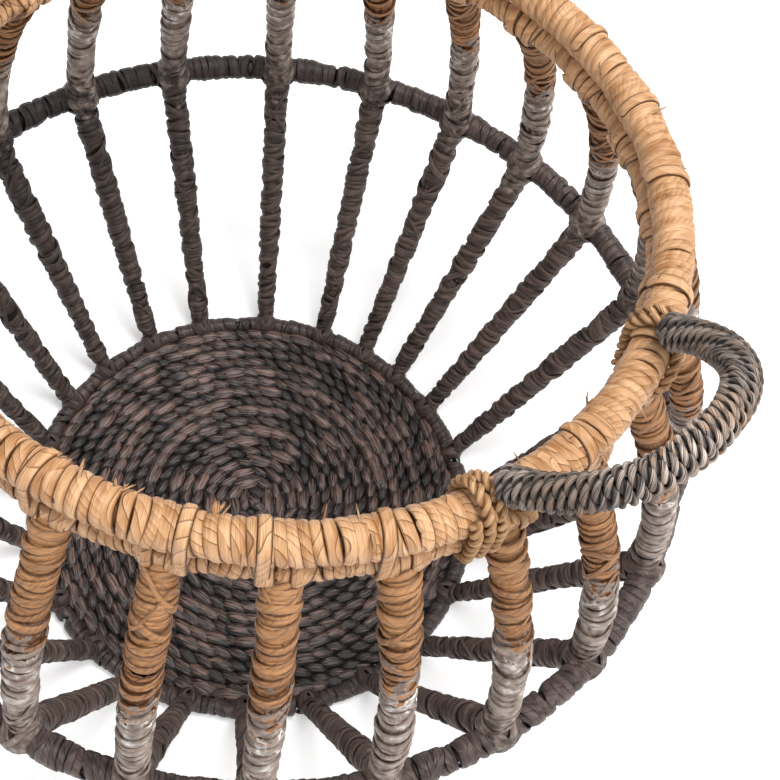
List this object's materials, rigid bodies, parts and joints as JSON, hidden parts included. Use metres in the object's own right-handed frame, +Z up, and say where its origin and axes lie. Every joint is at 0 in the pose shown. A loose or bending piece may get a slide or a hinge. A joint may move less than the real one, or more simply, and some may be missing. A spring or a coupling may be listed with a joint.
{
  "type": "round basket",
  "caption": "Round pot-bellied openwork storage basket: leaf-bound wire ribs between a woven round base and a thick bound rim, with corded loop handles.",
  "frame": {"origin": "on the floor under the middle of the basket", "axes": "+Z up through the mouth, X through the two handles"},
  "size_m": [0.4422, 0.4422, 0.3694],
  "materials": {
    "frame_wire": "dull drawn wire",
    "rib_leaf": "dried leaf strips, tan above, silver-grey at the shoulder, dark below",
    "dark_leaf": "dried leaf strips, dark brown, satin",
    "tan_leaf": "dried leaf strips, natural tan, satin",
    "handle_wire": "dull drawn wire",
    "handle_cord": "twisted plant-fibre cord, grey",
    "lashing_rope": "twisted plant-fibre rope, tan"
  },
  "bodies": {
    "root": {"steel_frame": "frame_wire", "rib_binding_01": "rib_leaf", "rib_binding_02": "rib_leaf", "rib_binding_03": "rib_leaf", "rib_binding_04": "rib_leaf", "rib_binding_05": "rib_leaf", "rib_binding_06": "rib_leaf", "rib_binding_07": "rib_leaf", "rib_binding_08": "rib_leaf", "rib_binding_09": "rib_leaf", "rib_binding_10": "rib_leaf", "rib_binding_11": "rib_leaf", "rib_binding_12": "rib_leaf", "rib_binding_13": "rib_leaf", "rib_binding_14": "rib_leaf", "rib_binding_15": "rib_leaf", "rib_binding_16": "rib_leaf", "rib_binding_17": "rib_leaf", "rib_binding_18": "rib_leaf", "rib_binding_19": "rib_leaf", "rib_binding_20": "rib_leaf", "rib_binding_21": "rib_leaf", "rib_binding_22": "rib_leaf", "rib_binding_23": "rib_leaf", "rib_binding_24": "rib_leaf", "base_hoop_binding": "dark_leaf", "belly_hoop_binding": "dark_leaf", "rim_lower_binding": "tan_leaf", "rim_upper_hoop": "tan_leaf", "base_mat": "dark_leaf", "handle_core_right": "handle_wire", "handle_cord_right": "handle_cord", "lashing_right_back": "lashing_rope", "lashing_right_front": "lashing_rope", "handle_core_left": "handle_wire", "handle_cord_left": "handle_cord", "lashing_left_back": "lashing_rope", "lashing_left_front": "lashing_rope"}
  },
  "joints": []
}
